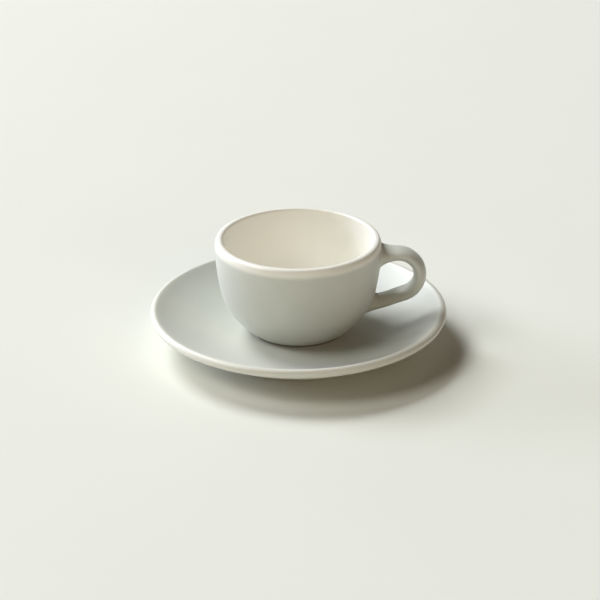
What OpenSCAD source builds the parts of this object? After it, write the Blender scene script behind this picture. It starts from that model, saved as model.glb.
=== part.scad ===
// Latte bowl on its saucer: a low round cup with a ring handle, standing in a deep coupe saucer.
// Millimetres, +Z up, handle along +X. The origin is on the table, under the middle of the saucer.

/* [Saucer] */
// Outer diameter of the saucer
saucer_d = 162; // [135:1:196]
// Height of the saucer's rim above the table
saucer_h = 21.5; // [17.5:0.5:27]
// Thickness of the saucer's wall, which its full round rim shares
saucer_t = 4.6; // [3.8:0.1:5.4]
// Diameter of the flat well that the cup stands in
well_d = 64; // [53:1:78]
// Outer diameter of the saucer's foot ring
ring_d = 100; // [83:1:120]
// Width of the saucer's foot ring where it meets the table
ring_w = 4; // [3:0.5:6]
// Depth of the hollow inside the saucer's foot ring
ring_depth = 3.2; // [2.6:0.1:3.8]

/* [Cup] */
// Outer diameter of the lip
lip_d = 90; // [75:1:108]
// Height of the cup from its foot to its lip
cup_h = 53.8; // [45:0.1:65]
// Thickness of the wall and of the lip
wall_t = 4.2; // [3.4:0.1:5.2]
// Radius of the lip's crest and inner edge, at most as the wall's thickness allows
lip_edge = 1.9; // [1.6:0.1:2]
// Radius of the soft shoulder between the lip's crest and the outside
shoulder_r = 6; // [5:0.1:7.2]
// Radius of the upper wall's curve, seen from the side
side_r = 124; // [103:1:150]
// Radius of the belly's curve between the wall and the foot
belly_r = 38; // [32:1:46]
// Outer diameter of the cup's foot
foot_d = 53; // [44:1:60]
// Height of the cup's foot below the belly
foot_h = 1.8; // [1.4:0.1:2.4]
// Width of the cup's foot ring where it meets the well
foot_w = 3.6; // [3:0.1:4.4]
// Depth of the hollow inside the cup's foot
foot_depth = 2; // [1.5:0.1:2.4]
// Thickness of the cup's floor
floor_t = 3.8; // [3:0.1:4.6]
// Radius of the curve between floor and belly inside
corner_r = 12; // [10:0.5:14.5]

/* [Lining] */
// Thickness of the liner glaze
coat_t = 0.4; // [0.3:0.05:0.6]
// How far the liner glaze comes down the outside, below the lip's shoulder
coat_lap = 0.5; // [0.4:0.1:0.8]

/* [Handle] */
// How far the handle stands out from the lip
handle_out = 24.6; // [20.5:0.1:29.6]
// Thickness of the handle, seen from the side
handle_t = 7; // [5.8:0.1:8.4]
// Width of the handle, seen from its end
handle_w = 13.8; // [11.5:0.1:16.5]
// Depth of the upper arm's middle below the lip
arm_drop = 9.4; // [7.9:0.1:11.3]
// Height of the lower arm's root above the cup's foot
root_h = 13.5; // [11.5:0.1:16.2]
// Slope of the lower arm, in degrees
arm_slope = 20; // [16.5:0.5:24]
// Length of the flare where an arm meets the bowl
flare_l = 9; // [7.5:0.5:11]
// Thickness that the flare adds to each side of the upper arm
upper_flare = 3; // [2.4:0.1:3.6]
// Thickness that the flare adds to each side of the lower arm
lower_flare = 2.6; // [2.1:0.1:3.1]
// Width that the flare adds to each side of an arm
flare_w = 1.8; // [1.4:0.1:2.2]

/* [Hidden] */
$fn = 128;
glaze_grey = [0.72, 0.73, 0.69];
glaze_ivory = [0.93, 0.91, 0.83];

// Saucer: the inside is one arc from the edge of the well to the round rim.
// Its radius is kept to a thousandth, and the middle of the rim follows from it
rim_r = saucer_t / 2;
rim_z = saucer_h - rim_r;
well_r = well_d / 2;
well_z = ring_depth + saucer_t;
rise = [saucer_d / 2 - rim_r, rim_z] - [well_r, well_z];
dish_r = round(1000 * (rise * rise - rim_r * rim_r) / (2 * rise.y + saucer_t)) / 1000;
dish_c = [well_r, well_z + dish_r];
rim_mid = [well_r + sqrt(pow(dish_r + rim_r, 2) - pow(dish_c.y - rim_z, 2)), rim_z];
ring_round = 0.8;
ring_top = dish_c.y - sqrt(pow(dish_r + rim_r, 2) - pow(ring_d / 2 - well_r, 2));

// Cup, in its own frame with the foot at zero: the wall is upright where the lip begins.
// The crest's circle touches the inner wall, and the shoulder's circle from inside
lip_r = lip_d / 2;
crest_r = min(lip_edge, 0.46 * wall_t);
crest_rise = sqrt(pow(shoulder_r - crest_r, 2) - pow(shoulder_r + crest_r - wall_t, 2));
lip_z = cup_h - crest_r - crest_rise;
shoulder_c = [lip_r - shoulder_r, lip_z];
crest_c = [lip_r - wall_t + crest_r, lip_z + crest_rise];
// How far the strips of the lip's section run into each other
lip_over = 0.5;
lap_z = lip_z - coat_lap;
foot_r = foot_d / 2;
foot_round = 0.6;
floor_z = foot_depth + floor_t;

// The belly's circle runs through the top of the foot and touches the side's circle from inside
side_c = [lip_r - side_r, lip_z];
to_foot = [foot_r, foot_h] - side_c;
touch_r = side_r - belly_r;
along = (touch_r * touch_r - belly_r * belly_r + to_foot * to_foot) / (2 * norm(to_foot));
across = sqrt(touch_r * touch_r - along * along);
belly_c = side_c + (to_foot * along + [-to_foot.y, to_foot.x] * across) / norm(to_foot);

function unit(v) = v / norm(v);
// Height where two of the wall's curves meet, at a given depth below the outside of the larger one
function join_z(centre, radius, next_c, depth) = (centre + unit(next_c - centre) * (radius - depth)).y;
function side_join_z(depth) = join_z(side_c, side_r, belly_c, depth);
function shoulder_join_z(depth) = join_z(shoulder_c, shoulder_r, crest_c, depth);

// The inner corner's circle rests on the floor and touches the wall's inner circle there.
// That is the belly's, or in a narrow cup, whose belly ends below the corner, the side's
corner_z = floor_z + corner_r;
function corner_at(centre, radius) =
    [centre.x + sqrt(pow(radius - wall_t - corner_r, 2) - pow(centre.y - corner_z, 2)), corner_z];
belly_corner = corner_at(belly_c, belly_r);
meets_belly = join_z(belly_c, belly_r, belly_corner, wall_t) < side_join_z(wall_t);
corner_c = meets_belly ? belly_corner : corner_at(side_c, side_r);
function corner_join_z(depth) = meets_belly
    ? join_z(belly_c, belly_r, corner_c, depth)
    : join_z(side_c, side_r, corner_c, depth);
function inner_side_z(depth) = meets_belly ? side_join_z(depth) : corner_join_z(depth);
// Radius of the outside of the bowl at a height
function bowl_x(z) = z > side_join_z(0)
    ? side_c.x + sqrt(side_r * side_r - pow(z - side_c.y, 2))
    : belly_c.x + sqrt(belly_r * belly_r - pow(z - belly_c.y, 2));

// Handle: a level upper arm, two bends of one radius and a sloping lower arm
arm_z = cup_h - arm_drop;
loop_x = lip_r + handle_out - handle_t / 2;
root_x = bowl_x(root_h);
bend_r = ((arm_z - root_h) * cos(arm_slope) - (loop_x - root_x) * sin(arm_slope))
    / (1 - sin(arm_slope) + cos(arm_slope));
bend_c = [loop_x - bend_r, arm_z - bend_r];
bend_end = arm_slope - 90;
arm_dir = [cos(arm_slope), sin(arm_slope)];
// How far the arms run on inside the bowl before they are trimmed
run_in = 16;
// Share of a flare that goes from one side of its arm to the other, outward from the loop
upper_lean = -0.35;
lower_lean = -0.3;
arm_steps = 14;
bend_steps = 28;
ring_steps = 32;

// Each stop along the handle holds its middle and the angle of its outward side in the handle's plane
function on_bend(a) = bend_c + bend_r * [cos(a), sin(a)];
upper_start = [bowl_x(arm_z) - run_in, arm_z];
lower_start = on_bend(bend_end);
lower_end = [root_x, root_h] - run_in * arm_dir;
handle_path = concat(
    [for (i = [0 : arm_steps - 1]) [upper_start + (on_bend(90) - upper_start) * i / arm_steps, 90]],
    [for (i = [0 : bend_steps])
        let (a = 90 + (bend_end - 90) * i / bend_steps)
        [on_bend(a), a]],
    [for (i = [1 : arm_steps]) [lower_start + (lower_end - lower_start) * i / arm_steps, bend_end]]);

// Zero at the flare's length from the bowl, one at the bowl's surface and inside it
function flare(p) = pow(max(0, 1 - max(0, (p.x - bowl_x(p.y)) / flare_l)), 2);
// The oval section at one stop. Both flares lean into the loop
function handle_ring(stop) =
    let (out = [cos(stop[1]), sin(stop[1])])
    let (f = flare(stop[0]))
    let (swell = (stop[1] > 0 ? upper_flare : lower_flare) * f)
    let (mid = stop[0] + out * swell * (stop[1] > 0 ? upper_lean : lower_lean))
    [for (i = [0 : ring_steps - 1])
        let (a = 360 * i / ring_steps)
        let (p = mid + out * (handle_t / 2 + swell) * cos(a))
        [p.x, (handle_w / 2 + flare_w * f) * sin(a), p.y]];

// Moves by a round step and then by the small rest, so that curves that touch lose no digits
module place(point) {
    step = [round(point.x * 100), round(point.y * 100)] / 100;
    translate(step)
        translate(point - step)
            children();
}

// A strip of the half section between two heights
module between(low, high) {
    intersection() {
        place([0, low])
            square(saucer_d);
        place([0, high - saucer_d])
            square(saucer_d);
    }
}

module disc(centre, radius) {
    place(centre)
        circle(radius);
}

// Half section of a foot ring with rounded edges below
module foot_ring(outer_r, width, top, edge_r) {
    inner_r = outer_r - width;
    for (x = [inner_r + edge_r, outer_r - edge_r])
        disc([x, edge_r], edge_r);
    translate([inner_r + edge_r, 0])
        square([width - 2 * edge_r, edge_r]);
    translate([inner_r, edge_r])
        square([width, top - edge_r]);
}

// Half section of the lip, from where its shoulder begins, at a given depth below the outside
module lip(depth) {
    intersection() {
        disc(shoulder_c, shoulder_r - depth);
        between(lip_z, shoulder_join_z(depth));
        place([crest_c.x, lip_z])
            square(wall_t);
    }
    intersection() {
        disc(crest_c, crest_r - depth);
        between(shoulder_join_z(depth), cup_h);
        place(crest_c)
            square(wall_t);
    }
    intersection() {
        disc(crest_c, crest_r - depth);
        place([crest_c.x - wall_t, crest_c.y])
            square([wall_t + lip_over, wall_t]);
    }
    intersection() {
        between(lip_z, crest_c.y);
        place([crest_c.x - crest_r + depth, lip_z])
            square([crest_r - depth + lip_over, wall_t]);
    }
}

// Half section of the bowl's outside, filled above the foot, up to where the lip begins
module bowl_outside() {
    intersection() {
        disc(side_c, side_r);
        between(side_join_z(0), lip_z);
    }
    intersection() {
        disc(belly_c, belly_r);
        between(foot_h, side_join_z(0));
    }
    foot_ring(foot_r, foot_w, foot_h, foot_round);
}

// Half section of the space inside the bowl, at a given depth below the outside
module bowl_inside(depth) {
    floor_here = floor_z - wall_t + depth;
    corner_here = corner_r + wall_t - depth;
    intersection() {
        disc(side_c, side_r - depth);
        between(inner_side_z(depth), lip_z);
    }
    if (meets_belly)
        intersection() {
            disc(belly_c, belly_r - depth);
            between(corner_join_z(depth), side_join_z(depth));
        }
    intersection() {
        union() {
            disc(corner_c, corner_here);
            place([0, floor_here])
                square([corner_c.x, corner_here]);
        }
        between(floor_here, corner_join_z(depth));
    }
}

// Half section of the clay, cut back where the liner glaze lies on it
module bowl_section() {
    difference() {
        union() {
            intersection() {
                bowl_outside();
                between(0, lap_z);
            }
            intersection() {
                disc(side_c, side_r - coat_t);
                between(lap_z, lip_z);
            }
        }
        bowl_inside(wall_t - coat_t);
        square([foot_r - foot_w, foot_depth]);
    }
    lip(coat_t);
}

// Half section of the liner glaze: inside, over the lip and a little way down the outside
module lining_section() {
    difference() {
        bowl_inside(wall_t - coat_t);
        bowl_inside(wall_t);
    }
    difference() {
        lip(0);
        lip(coat_t);
    }
    difference() {
        intersection() {
            disc(side_c, side_r);
            between(lap_z, lip_z);
        }
        disc(side_c, side_r - coat_t);
    }
}

// Wedge from the middle of the dish's curve, between the edge of the well and the middle of the rim
module dish_wedge() {
    reach = 2 * dish_r;
    aim = unit(rim_mid - dish_c);
    polygon([dish_c, dish_c - [0, reach], dish_c + [reach, -reach], dish_c + aim * reach]);
}

// Half section of the saucer's curved side and the round rim that ends it
module dish_side() {
    difference() {
        intersection() {
            disc(dish_c, dish_r + saucer_t);
            dish_wedge();
        }
        disc(dish_c, dish_r);
    }
    difference() {
        disc(rim_mid, rim_r);
        dish_wedge();
    }
}

module saucer() {
    color(glaze_grey)
        rotate_extrude() {
            translate([0, ring_depth])
                square([well_r, saucer_t]);
            dish_side();
            foot_ring(ring_d / 2, ring_w, ring_top, ring_round);
        }
}

module cup_bowl() {
    color(glaze_grey)
        translate([0, 0, well_z])
            rotate_extrude()
                bowl_section();
}

module cup_lining() {
    color(glaze_ivory)
        translate([0, 0, well_z])
            rotate_extrude()
                lining_section();
}

// The handle is swept through the bowl's outline and then trimmed to it, so that it seats on the wall
module cup_handle() {
    rings = [for (stop = handle_path) handle_ring(stop)];
    last = len(rings) - 1;
    n = ring_steps;
    sides = [for (r = [0 : last - 1], i = [0 : n - 1])
        let (j = (i + 1) % n)
        each [[r * n + i, r * n + j, (r + 1) * n + j], [r * n + i, (r + 1) * n + j, (r + 1) * n + i]]];
    start_cap = [for (i = [1 : n - 2]) [0, i + 1, i]];
    end_cap = [for (i = [1 : n - 2]) [last * n, last * n + i, last * n + i + 1]];
    color(glaze_grey)
        translate([0, 0, well_z])
            difference() {
                polyhedron([for (ring = rings) each ring], concat(sides, start_cap, end_cap));
                rotate_extrude() {
                    bowl_outside();
                    square([foot_r, foot_h]);
                    lip(0);
                    translate([0, lip_z])
                        square([crest_c.x, cup_h - lip_z]);
                }
            }
}

saucer();
cup_bowl();
cup_handle();
cup_lining();
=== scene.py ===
import math

import bmesh
import bpy
from mathutils import Matrix, Vector


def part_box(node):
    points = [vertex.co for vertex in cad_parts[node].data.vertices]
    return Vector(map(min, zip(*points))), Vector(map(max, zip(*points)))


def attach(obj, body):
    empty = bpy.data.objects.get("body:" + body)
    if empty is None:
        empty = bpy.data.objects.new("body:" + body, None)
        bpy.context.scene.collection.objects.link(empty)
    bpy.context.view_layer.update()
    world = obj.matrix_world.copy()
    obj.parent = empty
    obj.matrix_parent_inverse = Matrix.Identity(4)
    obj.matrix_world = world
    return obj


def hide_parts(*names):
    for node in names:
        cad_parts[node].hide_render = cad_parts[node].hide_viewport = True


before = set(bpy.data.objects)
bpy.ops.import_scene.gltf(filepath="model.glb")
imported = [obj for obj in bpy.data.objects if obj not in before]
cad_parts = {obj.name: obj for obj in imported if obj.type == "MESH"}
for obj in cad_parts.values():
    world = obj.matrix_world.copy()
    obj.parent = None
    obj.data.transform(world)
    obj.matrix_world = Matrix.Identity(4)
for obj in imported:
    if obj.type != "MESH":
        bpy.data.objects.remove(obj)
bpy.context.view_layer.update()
mm = 0.001
bpy.context.scene.view_settings.view_transform = "Standard"


def dropSelection():
    if bpy.context.mode != "OBJECT":
        bpy.ops.object.mode_set(mode="OBJECT")
    bpy.ops.object.select_all(action="DESELECT")


def unitTo(a, b):
    far = math.dist(a, b)
    return (b[0] - a[0]) / far, (b[1] - a[1]) / far


def along(a, direction, far):
    return a[0] + direction[0] * far, a[1] + direction[1] * far


# Opens the newest mesh for drawing, with all its points picked
def openMesh(name):
    piece = bpy.context.object
    piece.name = piece.data.name = name
    bpy.ops.object.transform_apply(location=True, rotation=True, scale=True)
    bpy.ops.object.mode_set(mode="EDIT")
    bpy.ops.mesh.select_mode(type="VERT")
    bpy.ops.mesh.select_all(action="SELECT")
    return piece


# A turned piece starts as one point of its half outline, in the X Z plane and in mm
def startOutline(name, x, z):
    dropSelection()
    bpy.ops.mesh.primitive_plane_add(size=mm, location=(x * mm, 0, z * mm))
    piece = openMesh(name)
    bpy.ops.mesh.merge(type="CENTER")
    return piece


def outlineEnd():
    mesh = bmesh.from_edit_mesh(bpy.context.object.data)
    tip = next(v for v in mesh.verts if v.select)
    return tip.co.x / mm, tip.co.z / mm


def lineTo(x, z, parts=1):
    fromX, fromZ = outlineEnd()
    step = ((x - fromX) / parts * mm, 0, (z - fromZ) / parts * mm)
    for _ in range(parts):
        bpy.ops.mesh.extrude_region_move(TRANSFORM_OT_translate={"value": step})


# Anticlockwise is positive, seen from the front with X to the right
def arcBy(centre, degrees, parts):
    middle = (centre[0] * mm, 0, centre[1] * mm)
    bpy.ops.mesh.spin(steps=parts, angle=math.radians(degrees), center=middle, axis=(0, 1, 0))


def arcTo(centre, x, z, parts):
    fromX, fromZ = outlineEnd()
    turn = math.atan2(z - centre[1], x - centre[0]) - math.atan2(fromZ - centre[1], fromX - centre[0])
    turn = (turn + math.pi) % (2 * math.pi) - math.pi
    arcBy(centre, math.degrees(turn), parts)


def turnOutline(steps, weld=0.001):
    bpy.ops.mesh.select_all(action="SELECT")
    bpy.ops.mesh.spin(steps=steps, angle=2 * math.pi, center=(0, 0, 0), axis=(0, 0, 1))
    bpy.ops.mesh.select_all(action="SELECT")
    bpy.ops.mesh.remove_doubles(threshold=weld * mm)
    bpy.ops.mesh.normals_make_consistent(inside=False)


# Rounds the edges that run all the way round at a radius and height
def softenRing(radius, height, width, parts, reach=0.02):
    bpy.ops.mesh.select_mode(type="EDGE")
    bpy.ops.mesh.select_all(action="DESELECT")
    mesh = bmesh.from_edit_mesh(bpy.context.object.data)
    for edge in mesh.edges:
        ends = [(math.hypot(v.co.x, v.co.y), v.co.z) for v in edge.verts]
        off = max(math.dist(end, (radius * mm, height * mm)) for end in ends)
        edge.select_set(off < reach * mm)
    bmesh.update_edit_mesh(bpy.context.object.data)
    bpy.ops.mesh.bevel(offset=width * mm, segments=parts, affect="EDGES", profile=0.5)


def finishPiece(piece, body, nodes, smoothAngle=50):
    dropSelection()
    piece.select_set(True)
    bpy.context.view_layer.objects.active = piece
    bpy.ops.object.shade_smooth_by_angle(angle=math.radians(smoothAngle))
    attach(piece, body)
    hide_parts(*nodes)
    print(piece.name, "faces", len(piece.data.polygons))


# Saucer: flat well, one long curve, round rim and a foot ring
saucerLow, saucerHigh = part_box("saucer")
saucerShape = {
    "radius": min(saucerHigh.x, -saucerLow.x) / mm, "height": saucerHigh.z / mm,
    "wall": 4.6, "wellAcross": 64, "ringAcross": 100, "ringWidth": 4, "ringDepth": 3.2,
    "ringEdge": 0.8, "ringJoin": 1.6, "turns": 192,
}


def makeSaucer():
    s = saucerShape
    rimR = s["wall"] / 2
    wellR, wellZ = s["wellAcross"] / 2, s["ringDepth"] + s["wall"]
    rimMid = (s["radius"] - rimR, s["height"] - rimR)
    riseX, riseZ = rimMid[0] - wellR, rimMid[1] - wellZ
    dishR = (riseX ** 2 + riseZ ** 2 - rimR ** 2) / (2 * riseZ + s["wall"])
    dishMid = (wellR, wellZ + dishR)
    aim = unitTo(dishMid, rimMid)
    underR = dishR + s["wall"]
    ringOut, edge = s["ringAcross"] / 2, s["ringEdge"]
    ringIn = ringOut - s["ringWidth"]
    outTop = dishMid[1] - math.sqrt(underR ** 2 - (ringOut - wellR) ** 2)
    inTop = dishMid[1] - math.sqrt(underR ** 2 - (ringIn - wellR) ** 2)

    piece = startOutline("saucerBody", 0, wellZ)
    lineTo(wellR, wellZ, parts=12)
    arcTo(dishMid, *along(dishMid, aim, dishR), parts=34)
    arcBy(rimMid, -180, parts=20)
    arcTo(dishMid, ringOut, outTop, parts=24)
    lineTo(ringOut, edge, parts=3)
    arcBy((ringOut - edge, edge), -90, parts=5)
    lineTo(ringIn + edge, 0, parts=2)
    arcBy((ringIn + edge, edge), -90, parts=5)
    lineTo(ringIn, inTop, parts=3)
    arcTo(dishMid, wellR, s["ringDepth"], parts=8)
    lineTo(0, s["ringDepth"], parts=10)
    turnOutline(s["turns"])
    softenRing(ringOut, outTop, s["ringJoin"], parts=4)
    softenRing(ringIn, inTop, s["ringJoin"], parts=4)
    finishPiece(piece, "saucer", ["saucer"])
    return piece


# Cup: two curves that touch make the wall, and the liner coats the inside and the lip
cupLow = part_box("cup_bowl")[0]
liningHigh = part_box("cup_lining")[1]
cupShape = {
    "base": cupLow.z / mm, "lipRadius": liningHigh.x / mm, "height": (liningHigh.z - cupLow.z) / mm,
    "wall": 4.2, "sideCurve": 124, "bellyCurve": 38, "floor": 3.8, "cornerCurve": 12,
    "footAcross": 53, "footHeight": 1.8, "footWidth": 3.6, "footDepth": 2,
    "footEdge": 0.5, "footInset": 0.9, "footLedge": 0.4, "footJoin": 0.6,
    "crest": 1.9, "innerEdge": 1.1, "shoulder": 6, "coat": 0.4, "coatGap": 0.04, "lap": 0.5, "turns": 192,
}


# Middles of the wall's curves, with the table at zero
def cupCurves():
    c = cupShape
    base, crest, shoulder = c["base"], c["crest"], c["shoulder"]
    crestRise = math.sqrt((shoulder - crest) ** 2 - (shoulder + crest - c["wall"]) ** 2)
    lipZ = base + c["height"] - crest - crestRise
    footR, footZ = c["footAcross"] / 2, base + c["footHeight"]
    sideMid = (c["lipRadius"] - c["sideCurve"], lipZ)
    far = math.dist(sideMid, (footR, footZ))
    between = c["sideCurve"] - c["bellyCurve"]
    near = (between ** 2 - c["bellyCurve"] ** 2 + far ** 2) / (2 * far)
    across = math.sqrt(between ** 2 - near ** 2)
    ux, uz = unitTo(sideMid, (footR, footZ))
    bellyMid = (sideMid[0] + ux * near - uz * across, sideMid[1] + uz * near + ux * across)
    floorZ = base + c["footDepth"] + c["floor"]
    cornerZ = floorZ + c["cornerCurve"]
    reach = c["bellyCurve"] - c["wall"] - c["cornerCurve"]
    cornerMid = (bellyMid[0] + math.sqrt(reach ** 2 - (bellyMid[1] - cornerZ) ** 2), cornerZ)
    return {
        "sideMid": sideMid, "bellyMid": bellyMid, "cornerMid": cornerMid, "lipZ": lipZ, "floorZ": floorZ,
        "shoulderMid": (c["lipRadius"] - shoulder, lipZ),
        "crestMid": (c["lipRadius"] - c["wall"] + crest, lipZ + crestRise),
        "lapX": sideMid[0] + math.sqrt(c["sideCurve"] ** 2 - c["lap"] ** 2), "lapZ": lipZ - c["lap"],
        "footR": footR, "footZ": footZ,
        "sideEnd": unitTo(sideMid, bellyMid), "cornerEnd": unitTo(bellyMid, cornerMid),
    }


curves = cupCurves()


# Draws the inside of the wall at a depth below the outside, up from the floor's edge or down to it
def drawInside(depth, upward):
    c, k = cupShape, curves
    floorZ = k["floorZ"] - c["wall"] + depth
    cornerParts, wallParts = 14, 16
    stops = [
        (k["cornerMid"], along(k["bellyMid"], k["cornerEnd"], c["bellyCurve"] - depth), cornerParts),
        (k["bellyMid"], along(k["sideMid"], k["sideEnd"], c["sideCurve"] - depth), wallParts),
        (k["sideMid"], along(k["sideMid"], (1, 0), c["sideCurve"] - depth), wallParts),
    ]
    if upward:
        for middle, (x, z), parts in stops:
            arcTo(middle, x, z, parts)
        return
    ends = [(k["cornerMid"][0], floorZ)] + [stop[1] for stop in stops[:-1]]
    for (middle, _, parts), (x, z) in zip(reversed(stops), reversed(ends)):
        arcTo(middle, x, z, parts)


# Draws the lip's soft shoulder, its crest and the short upright inside, inward or outward
def drawLip(depth, inward):
    c, k = cupShape, curves
    join = along(k["shoulderMid"], unitTo(k["shoulderMid"], k["crestMid"]), c["shoulder"] - depth)
    crestX, crestZ = k["crestMid"]
    topZ = crestZ + c["crest"] - depth
    innerMid = (crestX - c["crest"] + c["innerEdge"], crestZ + c["crest"] - c["innerEdge"])
    innerX = crestX - c["crest"] + depth
    if inward:
        arcTo(k["shoulderMid"], *join, parts=8)
        arcTo(k["crestMid"], crestX, topZ, parts=9)
        lineTo(innerMid[0], topZ, parts=2)
        arcTo(innerMid, innerX, innerMid[1], parts=8)
        lineTo(innerX, k["lipZ"], parts=3)
    else:
        lineTo(innerX, innerMid[1], parts=3)
        arcTo(innerMid, innerMid[0], topZ, parts=8)
        lineTo(crestX, topZ, parts=2)
        arcTo(k["crestMid"], *join, parts=9)
        arcTo(k["shoulderMid"], c["lipRadius"] - depth, k["lipZ"], parts=8)


def makeBowl():
    c, k = cupShape, curves
    base, edge = c["base"], c["footEdge"]
    footOut, footIn = k["footR"] - c["footInset"], k["footR"] - c["footWidth"]
    deep = c["coat"] + c["coatGap"]

    piece = startOutline("cupBowl", 0, base + c["footDepth"])
    lineTo(footIn, base + c["footDepth"], parts=8)
    lineTo(footIn, base + edge, parts=2)
    arcBy((footIn + edge, base + edge), 90, parts=5)
    lineTo(footOut - edge, base, parts=2)
    arcBy((footOut - edge, base + edge), 90, parts=5)
    lineTo(footOut, k["footZ"] - c["footLedge"], parts=2)
    lineTo(k["footR"], k["footZ"])
    arcTo(k["bellyMid"], *along(k["sideMid"], k["sideEnd"], c["sideCurve"]), parts=26)
    arcTo(k["sideMid"], k["lapX"], k["lapZ"], parts=18)
    lineTo(k["lapX"] - deep, k["lapZ"])
    arcTo(k["sideMid"], c["lipRadius"] - deep, k["lipZ"], parts=2)
    drawLip(deep, inward=True)
    drawInside(c["wall"] - deep, upward=False)
    lineTo(0, k["floorZ"] - deep, parts=6)
    turnOutline(c["turns"])
    softenRing(k["footR"], k["footZ"], c["footJoin"], parts=4)
    softenRing(footIn, base + c["footDepth"], c["footJoin"], parts=3)
    finishPiece(piece, "cup", ["cup_bowl"])
    return piece


def makeLining():
    c, k = cupShape, curves
    piece = startOutline("cupLining", 0, k["floorZ"])
    lineTo(k["cornerMid"][0], k["floorZ"], parts=8)
    drawInside(c["wall"], upward=True)
    drawLip(0, inward=False)
    arcTo(k["sideMid"], k["lapX"], k["lapZ"], parts=3)
    lineTo(k["lapX"] - c["coat"], k["lapZ"])
    arcTo(k["sideMid"], c["lipRadius"] - c["coat"], k["lipZ"], parts=3)
    drawLip(c["coat"], inward=True)
    drawInside(c["wall"] - c["coat"], upward=False)
    lineTo(0, k["floorZ"] - c["coat"], parts=6)
    turnOutline(c["turns"])
    finishPiece(piece, "cup", ["cup_lining"])
    return piece


# Handle: an oval ring spun round the bend, then drawn along both arms and seated on the bowl.
# Its rings stand at stops in mm from the root, those of the upper arm at tenths of that arm.
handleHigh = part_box("cup_handle")[1]
handleShape = {
    "outX": handleHigh.x / mm, "thick": 7, "wide": 13.8, "armDrop": 9.4, "rootHeight": 13.5, "slope": 20,
    "flareLong": 9, "upperFlare": 3, "lowerFlare": 3.9, "sideFlare": 1.8,
    "upperLean": -0.35, "lowerLean": -0.28, "fillet": 1,
    "seatFrom": 8, "seatGain": 1.35, "sunk": 0.5, "clear": 12, "around": 72, "bendParts": 40,
    "lowerStops": [18, 16, 14, 12.5, 11, 9.5, 8.2, 7, 6, 5, 4.1, 3.3, 2.5],
    "upperTenths": [9, 8, 7, 6, 5, 4.2, 3.4, 2.7],
    "closeStops": [1.8, 1.3, 0.9, 0.6, 0.35, 0.15, 0, -0.2],
}


def bowlX(z):
    c, k = cupShape, curves
    joinZ = along(k["sideMid"], k["sideEnd"], c["sideCurve"])[1]
    middle, radius = (k["sideMid"], c["sideCurve"]) if z > joinZ else (k["bellyMid"], c["bellyCurve"])
    return middle[0] + math.sqrt(radius ** 2 - (z - middle[1]) ** 2)


def pickedRing():
    mesh = bmesh.from_edit_mesh(bpy.context.object.data)
    return [v.index for v in mesh.verts if v.select]


def pickRing(ring):
    bpy.ops.mesh.select_mode(type="VERT")
    bpy.ops.mesh.select_all(action="DESELECT")
    mesh = bmesh.from_edit_mesh(bpy.context.object.data)
    mesh.verts.ensure_lookup_table()
    for i in ring:
        mesh.verts[i].select_set(True)
    mesh.select_flush(True)
    bmesh.update_edit_mesh(bpy.context.object.data)


# Draws one arm from the picked ring to the bowl, a ring at each distance left to go along the arm
def drawArm(start, root, direction, flare, lean, stops):
    h = handleShape
    tall = math.dist((0, 0), (1, direction[1] / direction[0])) * h["thick"] / 2
    last, lastTall, lastWide, seats = start, tall, h["wide"] / 2, []
    for stop in stops:
        x, z = along(root, direction, stop)
        gap = x - bowlX(z)
        swell = max(0, 1 - gap / h["flareLong"]) ** 2
        near = min(max(h["fillet"] - gap, 0), h["fillet"])
        skirt = h["fillet"] - math.sqrt(h["fillet"] ** 2 - near ** 2)
        z += (lean if direction[1] == 0 else -lean) * flare * swell  # both roots lean towards the loop
        newTall = tall + flare * swell + skirt
        newWide = h["wide"] / 2 + h["sideFlare"] * swell + skirt
        step = ((x - last[0]) * mm, 0, (z - last[1]) * mm)
        ringMid = (x * mm, 0, z * mm)
        bpy.ops.mesh.extrude_region_move(TRANSFORM_OT_translate={"value": step})
        if direction[1] and stop == stops[0]:  # the sloping arm's rings stand upright from here on
            upright = math.radians(h["slope"])
            bpy.ops.transform.rotate(value=upright, orient_axis="Y", center_override=ringMid)
            lastTall = h["thick"] / 2
        growth = (1, newWide / lastWide, newTall / lastTall)
        bpy.ops.transform.resize(value=growth, center_override=ringMid)
        last, lastTall, lastWide = (x, z), newTall, newWide
        weight = min(max(h["seatGain"] * (1 - gap / h["seatFrom"]), 0), 1)
        eased = weight * weight * (3 - 2 * weight)
        if weight:
            seats.append((pickedRing(), eased, gap))
    bpy.ops.mesh.edge_face_add()
    return seats


# The rings near the bowl step clear of it, are laid on it and step back to their distance
def seatHandle(piece, bowl, seats):
    clear = handleShape["clear"]
    for ring, _, _ in seats:
        pickRing(ring)
        bpy.ops.transform.translate(value=(clear * mm, 0, 0))
    bpy.ops.object.mode_set(mode="OBJECT")
    seat = piece.vertex_groups.new(name="seat")
    for ring, weight, _ in seats:
        seat.add(ring, weight, "REPLACE")
    wrap = piece.modifiers.new("seat", "SHRINKWRAP")
    wrap.target = bowl
    wrap.vertex_group = "seat"
    wrap.wrap_method = "PROJECT"
    wrap.wrap_mode = "ON_SURFACE"
    wrap.use_project_x = True
    wrap.use_negative_direction = True
    wrap.use_positive_direction = False
    bpy.ops.object.modifier_apply(modifier="seat")
    bpy.ops.object.mode_set(mode="EDIT")
    for ring, weight, gap in seats:
        pickRing(ring)
        bpy.ops.transform.translate(value=((weight * gap - (1 - weight) * clear) * mm, 0, 0))


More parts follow.
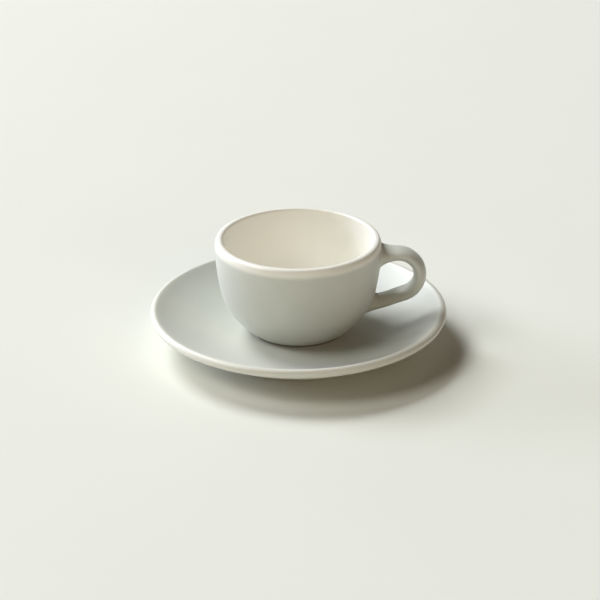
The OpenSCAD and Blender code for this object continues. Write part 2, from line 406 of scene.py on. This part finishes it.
def makeHandle(bowl):
    h, c = handleShape, cupShape
    slope = math.radians(h["slope"])
    armZ, loopX = c["base"] + c["height"] - h["armDrop"], h["outX"] - h["thick"] / 2
    rootZ = c["base"] + h["rootHeight"]
    root, upperRoot = (bowlX(rootZ), rootZ), (bowlX(armZ), armZ)
    bend = (armZ - rootZ) * math.cos(slope) - (loopX - root[0]) * math.sin(slope)
    bend /= 1 - math.sin(slope) + math.cos(slope)
    bendMid = (loopX - bend, armZ - bend)
    lowerDir = (math.cos(slope), math.sin(slope))
    lowerStart = along(bendMid, (lowerDir[1], -lowerDir[0]), bend)
    upperLong = bendMid[0] - upperRoot[0]
    close = h["closeStops"] + [-h["sunk"]]
    lowerStops = h["lowerStops"] + close
    upperStops = [upperLong * tenths / 10 for tenths in h["upperTenths"]] + close
    ringMid = (bendMid[0] * mm, 0, armZ * mm)

    dropSelection()
    bpy.ops.mesh.primitive_circle_add(
        vertices=h["around"], radius=h["thick"] / 2 * mm, location=ringMid, rotation=(0, math.pi / 2, 0))
    piece = openMesh("cupHandle")
    bpy.ops.transform.resize(value=(1, h["wide"] / h["thick"], 1), center_override=ringMid)
    firstRing = pickedRing()
    arcBy(bendMid, h["slope"] - 180, h["bendParts"])
    seats = drawArm(lowerStart, root, lowerDir, h["lowerFlare"], h["lowerLean"], lowerStops)
    pickRing(firstRing)
    seats += drawArm((bendMid[0], armZ), upperRoot, (1, 0), h["upperFlare"], h["upperLean"], upperStops)
    seatHandle(piece, bowl, seats)
    bpy.ops.mesh.select_all(action="SELECT")
    bpy.ops.mesh.normals_make_consistent(inside=False)
    finishPiece(piece, "cup", ["cup_handle"])
    piece.vertex_groups.clear()
    return piece


saucerBody = makeSaucer()
cupBowl = makeBowl()
cupLining = makeLining()
cupHandle = makeHandle(cupBowl)
print("pieces done")


def addNode(tree, kind, inputs=None, **settings):
    node = tree.nodes.new(kind)
    for key, value in settings.items():
        setattr(node, key, value)
    for key, value in (inputs or {}).items():
        if isinstance(value, bpy.types.NodeSocket):
            tree.links.new(value, node.inputs[key])
        else:
            node.inputs[key].default_value = value
    return node


def maths(tree, operation, *values):
    return addNode(tree, "ShaderNodeMath", dict(enumerate(values)), operation=operation).outputs[0]


def spreadValue(tree, value, low, high, toLow=0.0, toHigh=1.0, **settings):
    span = {"Value": value, "From Min": low, "From Max": high, "To Min": toLow, "To Max": toHigh}
    return addNode(tree, "ShaderNodeMapRange", span, **settings).outputs[0]


def noiseValue(tree, place, scale, detail, roughness=0.5):
    inputs = {"Vector": place, "Scale": scale, "Detail": detail, "Roughness": roughness}
    return addNode(tree, "ShaderNodeTexNoise", inputs).outputs["Fac"]


# A Mix node has its pair of values at sockets 2 and 3 and its pair of colours at 6 and 7
def mixColor(tree, mask, first, second):
    node = addNode(tree, "ShaderNodeMix", {0: mask, 6: first, 7: second}, data_type="RGBA")
    return node.outputs[2]


def mixValue(tree, mask, first, second):
    return addNode(tree, "ShaderNodeMix", {0: mask, 2: first, 3: second}).outputs[0]


def startGroup(name, inputs, outputs):
    group = bpy.data.node_groups.new(name, "ShaderNodeTree")
    for socketName, value in inputs.items():
        kind = "NodeSocketVector" if socketName == "Vector" else "NodeSocketFloat"
        socket = group.interface.new_socket(socketName, in_out="INPUT", socket_type=kind)
        if value is not None:
            socket.default_value = value
    for socketName in outputs:
        group.interface.new_socket(socketName, in_out="OUTPUT", socket_type="NodeSocketFloat")
    return group, addNode(group, "NodeGroupInput").outputs, addNode(group, "NodeGroupOutput").inputs


# Satin glaze: slow clouds where it pooled, a fine eggshell surface and a few iron specks
glazeDetail = {
    "noiseSpan": (0.3, 0.7), "noiseMiddle": 0.5, "cloudDetail": 3.0, "cloudRough": 0.55, "cloudLift": 0.6,
    "grainDetail": 2.0, "grainRough": 0.6, "speckFrom": 0.8, "speckWide": 0.075, "speckEdge": 0.04,
    "borderDetail": 3.0,
}


def makeGlazeBody():
    d = glazeDetail
    sockets = {"Vector": None, "Cloud Size": 0.03, "Grain Size": 0.0016, "Speck Size": 0.0035}
    group, given, result = startGroup("glazeBody", sockets, ["Cloud", "Grain", "Speck", "Height"])
    place = given["Vector"]
    cloudScale = maths(group, "DIVIDE", 1.0, given["Cloud Size"])
    cloud = noiseValue(group, place, cloudScale, d["cloudDetail"], d["cloudRough"])
    cloud = spreadValue(group, cloud, *d["noiseSpan"])
    grainScale = maths(group, "DIVIDE", 1.0, given["Grain Size"])
    grain = noiseValue(group, place, grainScale, d["grainDetail"], d["grainRough"])
    speckScale = maths(group, "DIVIDE", 1.0, given["Speck Size"])
    cells = addNode(group, "ShaderNodeTexVoronoi", {"Vector": place, "Scale": speckScale})
    chance = addNode(group, "ShaderNodeSeparateColor", {0: cells.outputs["Color"]}).outputs[0]
    width = spreadValue(group, chance, d["speckFrom"], 1.0, 0.0, d["speckWide"])
    near = maths(group, "SUBTRACT", width, cells.outputs["Distance"])
    speck = spreadValue(group, near, 0.0, d["speckEdge"])
    swell = maths(group, "MULTIPLY_ADD", cloud, d["cloudLift"], grain)
    for key, value in {"Cloud": cloud, "Grain": grain, "Speck": speck, "Height": swell}.items():
        group.links.new(value, result[key])
    return group


# A soft border at a distance from the axis or a height, a little uneven as dipped glaze is
def makeGlazeBorder():
    d = glazeDetail
    sockets = {"Vector": None, "Distance": 0.0, "Start": 0.0, "Full": 1.0, "Wander": 0.0005, "Size": 0.02}
    group, given, result = startGroup("glazeBorder", sockets, ["Mask"])
    scale = maths(group, "DIVIDE", 1.0, given["Size"])
    noise = noiseValue(group, given["Vector"], scale, d["borderDetail"])
    centred = maths(group, "SUBTRACT", noise, d["noiseMiddle"])
    moved = maths(group, "MULTIPLY_ADD", centred, given["Wander"], given["Distance"])
    mask = spreadValue(group, moved, given["Start"], given["Full"], interpolation_type="SMOOTHSTEP")
    group.links.new(mask, result["Mask"])
    return group


glazeBody = makeGlazeBody()
glazeBorder = makeGlazeBorder()


# A glaze with its clouds, grain, specks and surface; borders are laid over its colour and roughness later
def startGlaze(name, look):
    material = bpy.data.materials.new(name)
    material.use_nodes = True
    tree = material.node_tree
    place = addNode(tree, "ShaderNodeTexCoord").outputs["Object"]
    body = addNode(tree, "ShaderNodeGroup", {"Vector": place, **look["sizes"]}, node_tree=glazeBody)
    color = mixColor(tree, body.outputs["Cloud"], look["thin"], look["pooled"])
    paler = spreadValue(tree, body.outputs["Grain"], *glazeDetail["noiseSpan"], 0.0, look["grainAmount"])
    color = mixColor(tree, paler, color, look["grainTone"])
    seen = maths(tree, "MULTIPLY", body.outputs["Speck"], look["speckAmount"])
    color = mixColor(tree, seen, color, look["speckTone"])
    rough = spreadValue(tree, body.outputs["Cloud"], 0.0, 1.0, *look["roughness"])
    relief = {"Height": body.outputs["Height"], "Strength": look["bump"], "Distance": look["bumpDeep"]}
    bump = addNode(tree, "ShaderNodeBump", relief)
    shader = tree.nodes["Principled BSDF"]
    tree.links.new(bump.outputs[0], shader.inputs["Normal"])
    shader.inputs["IOR"].default_value = look["ior"]
    shader.inputs["Sheen Weight"].default_value = look["sheen"]
    shader.inputs["Sheen Roughness"].default_value = look["sheenRough"]
    return material, tree, place, color, rough


# The mask of one border, its edge in mm from an origin
def border(tree, place, distance, edge, origin=0):
    sizes = {"Start": origin + edge["start"], "Full": origin + edge["full"]}
    sizes.update({"Wander": edge["wander"], "Size": edge["size"]})
    inputs = {key: size * mm for key, size in sizes.items()}
    inputs.update({"Vector": place, "Distance": distance})
    return addNode(tree, "ShaderNodeGroup", inputs, node_tree=glazeBorder).outputs["Mask"]


# Distances across and up from the axis, for the borders
def rounds(tree, place):
    across = addNode(tree, "ShaderNodeVectorMath", {0: place, 1: (1, 1, 0)}, operation="MULTIPLY")
    radius = addNode(tree, "ShaderNodeVectorMath", {0: across.outputs[0]}, operation="LENGTH")
    height = addNode(tree, "ShaderNodeSeparateXYZ", {0: place})
    return radius.outputs["Value"], height.outputs["Z"]


# Lays another colour and roughness over a glaze where the mask says
def cover(tree, mask, color, rough, look):
    return mixColor(tree, mask, color, look["color"]), mixValue(tree, mask, rough, look["roughness"])


def endGlaze(material, tree, color, rough):
    shader = tree.nodes["Principled BSDF"]
    tree.links.new(color, shader.inputs["Base Color"])
    tree.links.new(rough, shader.inputs["Roughness"])
    return material


# Saucer glaze: grey, worn paler on the rim and wiped off the foot ring
greyLook = {
    "thin": (0.674, 0.693, 0.638, 1), "pooled": (0.628, 0.652, 0.600, 1),
    "grainTone": (0.75, 0.755, 0.70, 1), "grainAmount": 0.16,
    "speckTone": (0.42, 0.40, 0.35, 1), "speckAmount": 0.35,
    "sizes": {"Cloud Size": 0.028, "Grain Size": 0.0016, "Speck Size": 0.0042},
    "roughness": (0.41, 0.35), "bump": 0.12, "bumpDeep": 0.00025, "ior": 1.5,
    "sheen": 0.25, "sheenRough": 0.4,
}
clayLook = {"color": (0.70, 0.66, 0.57, 1), "roughness": 0.8}
rimLook = {"color": (0.79, 0.788, 0.715, 1), "roughness": 0.36}
saucerEdges = {
    "rim": {"start": 74.6, "full": 80.4, "wander": 0.7, "size": 14},
    "bare": {"start": 1.0, "full": 0.65, "wander": 0.3, "size": 6},
}


def makeSaucerGlaze():
    material, tree, place, color, rough = startGlaze("saucerGlaze", greyLook)
    radius, height = rounds(tree, place)
    rim = border(tree, place, radius, saucerEdges["rim"])
    color, rough = cover(tree, rim, color, rough, rimLook)
    bare = border(tree, place, height, saucerEdges["bare"])
    color, rough = cover(tree, bare, color, rough, clayLook)
    return endGlaze(material, tree, color, rough)


# Cup glaze: the liner runs thin down the lip's shoulder, where the grey takes over little by little.
# The grey is graded darker towards the foot, painted shade on the lower belly, and is darkest in the
# recess round it, a painted shadow.
lipLook = {"color": (0.965, 0.957, 0.890, 1), "roughness": 0.34}
cupShadeTones = {"foot": (0.475, 0.493, 0.445, 1), "recess": (0.16, 0.155, 0.13, 1)}
cupEdges = {
    "lip": {"start": 55.8, "full": 59.0, "wander": 0.7, "size": 11},
    "poolAndShade": {"start": 20, "full": 2, "wander": 1.5, "size": 16},
    "recess": {"start": 2.0, "full": 1.6, "wander": 0.2, "size": 8},
    "footSide": {"start": -2.4, "full": -1.6, "wander": 0.2, "size": 8},
    "bare": {"start": 0.3, "full": 0.1, "wander": 0.1, "size": 6},
}


def makeCupGlaze():
    material, tree, place, color, rough = startGlaze("cupGlaze", greyLook)
    radius, height = rounds(tree, place)
    base = cupShape["base"]
    lip = border(tree, place, height, cupEdges["lip"])
    color, rough = cover(tree, lip, color, rough, lipLook)
    # Painted shade: the grey darkens from 20 mm above the base down to 2 mm, towards the foot
    poolAndShade = border(tree, place, height, cupEdges["poolAndShade"], base)
    color = mixColor(tree, poolAndShade, color, cupShadeTones["foot"])
    # Painted shadow: a near-black band on the outer side of the foot, in the recess under the belly
    recess = border(tree, place, height, cupEdges["recess"], base)
    footSide = border(tree, place, radius, cupEdges["footSide"], curves["footR"])
    recess = maths(tree, "MULTIPLY", recess, footSide)
    color = mixColor(tree, recess, color, cupShadeTones["recess"])
    bare = border(tree, place, height, cupEdges["bare"], base)
    color, rough = cover(tree, bare, color, rough, clayLook)
    return endGlaze(material, tree, color, rough)


# Liner glaze: ivory, pooled on the floor, and thin over the grey on the outside of the lip
linerLook = {
    "thin": (0.978, 0.968, 0.903, 1), "pooled": (0.972, 0.957, 0.880, 1), "poolShare": 0.5,
    "grainTone": (0.98, 0.973, 0.918, 1), "grainAmount": 0.14,
    "speckTone": (0.52, 0.45, 0.33, 1), "speckAmount": 0.22,
    "sizes": {"Cloud Size": 0.024, "Grain Size": 0.0019, "Speck Size": 0.0048},
    "roughness": (0.34, 0.28), "bump": 0.08, "bumpDeep": 0.00022, "ior": 1.5,
    "sheen": 0.0, "sheenRough": 0.4,
}
greyUnder = {"color": greyLook["thin"], "roughness": greyLook["roughness"][0]}
linerEdges = {
    "poolAndShade": {"start": 7, "full": 0.5, "wander": 2.5, "size": 18},
    "outside": {"start": 42.0, "full": 43.4, "wander": 0, "size": 10},
}


def makeLinerGlaze():
    material, tree, place, color, rough = startGlaze("linerGlaze", linerLook)
    radius, height = rounds(tree, place)
    poolAndShade = border(tree, place, height, linerEdges["poolAndShade"], curves["floorZ"])
    poolAndShade = maths(tree, "MULTIPLY", poolAndShade, linerLook["poolShare"])
    color = mixColor(tree, poolAndShade, color, linerLook["pooled"])
    outside = border(tree, place, radius, linerEdges["outside"])
    lip = border(tree, place, height, cupEdges["lip"])
    thin = maths(tree, "MULTIPLY", maths(tree, "SUBTRACT", 1.0, lip), outside)
    color, rough = cover(tree, thin, color, rough, greyUnder)
    return endGlaze(material, tree, color, rough)


saucerBody.data.materials.append(makeSaucerGlaze())
cupBowl.data.materials.append(makeCupGlaze())
cupLining.data.materials.append(makeLinerGlaze())
cupHandle.data.materials.append(cupBowl.data.materials[0])
print("glazes done")

# Camera at the photograph's angle, its turns in degrees
cameraPlace = {
    "far": 1.080, "raised": 25.955, "down": 24.777, "right": 0.052, "roll": 0.253,
    "lens": 117.285, "sensor": 36, "clipEnd": 50,
}


def placeCamera():
    p = cameraPlace
    raised = math.radians(p["raised"])
    data = bpy.data.cameras.new("camera")
    data.lens = p["lens"]
    data.sensor_width = p["sensor"]
    data.clip_end = p["clipEnd"]
    camera = bpy.data.objects.new("camera", data)
    bpy.context.scene.collection.objects.link(camera)
    camera.location = (0, -math.cos(raised) * p["far"], math.sin(raised) * p["far"])
    aside = Matrix.Rotation(math.radians(-p["right"]), 3, "Z")
    tilt = Matrix.Rotation(math.radians(90 - p["down"]), 3, "X")
    roll = Matrix.Rotation(math.radians(-p["roll"]), 3, "Z")
    camera.rotation_euler = (aside @ tilt @ roll).to_euler()
    bpy.context.scene.camera = camera


floorLook = {
    "across": 14, "low": (0.815, 0.822, 0.758, 1), "high": (0.835, 0.842, 0.778, 1),
    "scale": 9.0, "detail": 3.0, "roughness": 0.8, "specular": 0.2,
}


def makeFloor():
    dropSelection()
    bpy.ops.mesh.primitive_plane_add(size=floorLook["across"], location=(0, 0, 0))
    floor = bpy.context.object
    floor.name = "floor"
    material = bpy.data.materials.new("floorPaper")
    material.use_nodes = True
    tree = material.node_tree
    place = addNode(tree, "ShaderNodeTexCoord").outputs["Object"]
    noise = noiseValue(tree, place, floorLook["scale"], floorLook["detail"])
    color = mixColor(tree, noise, floorLook["low"], floorLook["high"])
    shader = tree.nodes["Principled BSDF"]
    tree.links.new(color, shader.inputs["Base Color"])
    shader.inputs["Roughness"].default_value = floorLook["roughness"]
    shader.inputs["Specular IOR Level"].default_value = floorLook["specular"]
    floor.data.materials.append(material)


# Lamps face the object from a window side at the left and back, with two weak ones in front
lampPlace = {"far": 9, "across": (4.05, 3.3)}
lamps = {
    "windowHigh": {"azimuth": 134, "raised": 46, "watts": 672, "color": (0.96, 0.99, 1)},
    "windowLow": {"azimuth": 156, "raised": 15, "watts": 360, "color": (0.80, 0.83, 1)},
    "sideLamp": {"azimuth": 200, "raised": 46, "watts": 292, "color": (1, 0.99, 0.92)},
    "backLamp": {"azimuth": 112, "raised": 15, "watts": 68, "color": (0.96, 1, 1)},
    "frontLamp": {"azimuth": 270, "raised": 18, "watts": 36, "color": (1, 0.96, 0.74)},
    "cornerLamp": {"azimuth": 300, "raised": 25, "watts": 88, "color": (1, 0.70, 0.47)},
}


def addLamp(name, look):
    data = bpy.data.lights.new(name, "AREA")
    data.shape = "RECTANGLE"
    data.size, data.size_y = lampPlace["across"]
    data.energy = look["watts"]
    data.color = look["color"]
    lamp = bpy.data.objects.new(name, data)
    bpy.context.scene.collection.objects.link(lamp)
    turn, raised = math.radians(look["azimuth"]), math.radians(look["raised"])
    level = math.cos(raised)
    away = Vector((math.cos(turn) * level, math.sin(turn) * level, math.sin(raised)))
    lamp.location = away * lampPlace["far"]
    lamp.rotation_euler = away.to_track_quat("Z", "Y").to_euler()


# The room lights the object dimly, but the camera sees it pale beyond the floor
roomLight = {"dim": (0.02, 0.016, 0.011, 1), "seen": (0.84, 0.845, 0.79, 1)}


def makeRoom():
    world = bpy.data.worlds.new("room")
    world.use_nodes = True
    bpy.context.scene.world = world
    tree = world.node_tree
    toCamera = addNode(tree, "ShaderNodeLightPath").outputs["Is Camera Ray"]
    color = mixColor(tree, toCamera, roomLight["dim"], roomLight["seen"])
    tree.links.new(color, tree.nodes["Background"].inputs["Color"])


placeCamera()
makeFloor()
for name, look in lamps.items():
    addLamp(name, look)
makeRoom()
print("camera, floor and light done")
